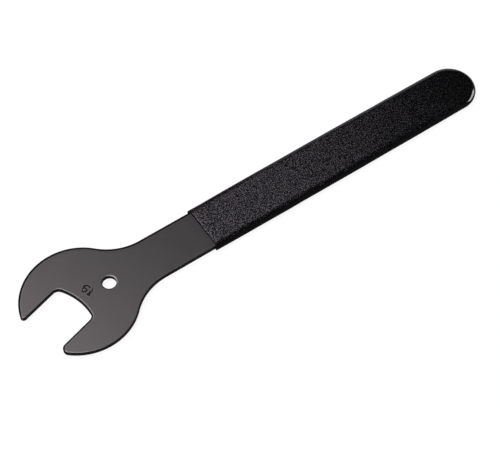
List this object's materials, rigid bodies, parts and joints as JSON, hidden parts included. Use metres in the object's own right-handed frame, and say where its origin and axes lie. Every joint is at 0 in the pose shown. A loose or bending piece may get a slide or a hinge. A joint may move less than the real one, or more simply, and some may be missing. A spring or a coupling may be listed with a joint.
{
  "type": "cone wrench",
  "caption": "Thin flat open-ended spanner with angled jaws, a hang hole and a vinyl-dipped handle, for holding the flats of a wheel hub's cone.",
  "frame": {"origin": "centre of the hang hole, half way through the blade", "axes": "+X along the handle from the jaws to the grip's end, +Y to the upper jaw's side, +Z out of the stamped face"},
  "size_m": [0.2115, 0.0464, 0.0038],
  "materials": {
    "black_oxide_steel": "satin black oxide, tumbled edges",
    "dipped_vinyl": "pebbled black plastisol dip, smoother and glossier at the end"
  },
  "bodies": {
    "root": {"steel_blade": "black_oxide_steel", "dipped_grip": "dipped_vinyl"}
  },
  "joints": []
}
